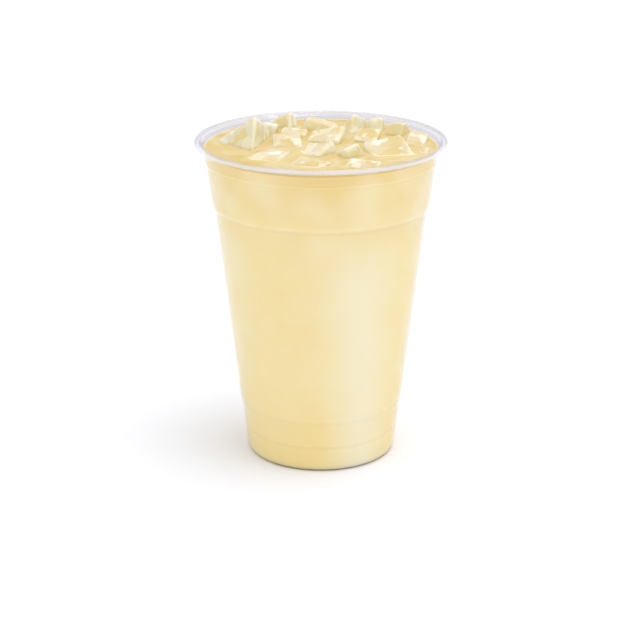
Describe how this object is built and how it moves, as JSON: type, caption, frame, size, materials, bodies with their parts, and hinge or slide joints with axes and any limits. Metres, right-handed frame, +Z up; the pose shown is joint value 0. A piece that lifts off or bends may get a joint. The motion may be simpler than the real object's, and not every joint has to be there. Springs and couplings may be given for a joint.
{
  "type": "cup of iced lemonade",
  "caption": "Clear plastic cup with a rolled rim and ringed foot, filled to the brim with cloudy pale yellow lemonade and ice.",
  "frame": {"origin": "centre of the foot ring, on the surface that the cup stands on", "axes": "+Z up along the cup's axis; -Y is the side that faces the viewer, with +X to the viewer's right"},
  "size_m": [0.098, 0.098, 0.1362],
  "materials": {
    "clear_plastic": "clear, glossy, thin",
    "lemonade": "cloudy pale yellow liquid with a wet surface",
    "ice": "clear wet ice, tinted by the drink"
  },
  "bodies": {
    "root": {"cup": "clear_plastic", "lemonade": "lemonade", "ice_left_large": "ice", "ice_left_back": "ice", "ice_back_left": "ice", "ice_back_low": "ice", "ice_back_middle": "ice", "ice_back_peak": "ice", "ice_back_right": "ice", "ice_right_back": "ice", "ice_right_large": "ice", "ice_right_edge": "ice", "ice_middle_left": "ice", "ice_front_middle": "ice", "ice_middle": "ice", "ice_middle_right": "ice", "ice_front_left": "ice", "ice_low_right": "ice", "ice_low_left": "ice", "ice_low_edge": "ice", "ice_front_right": "ice"}
  },
  "joints": []
}
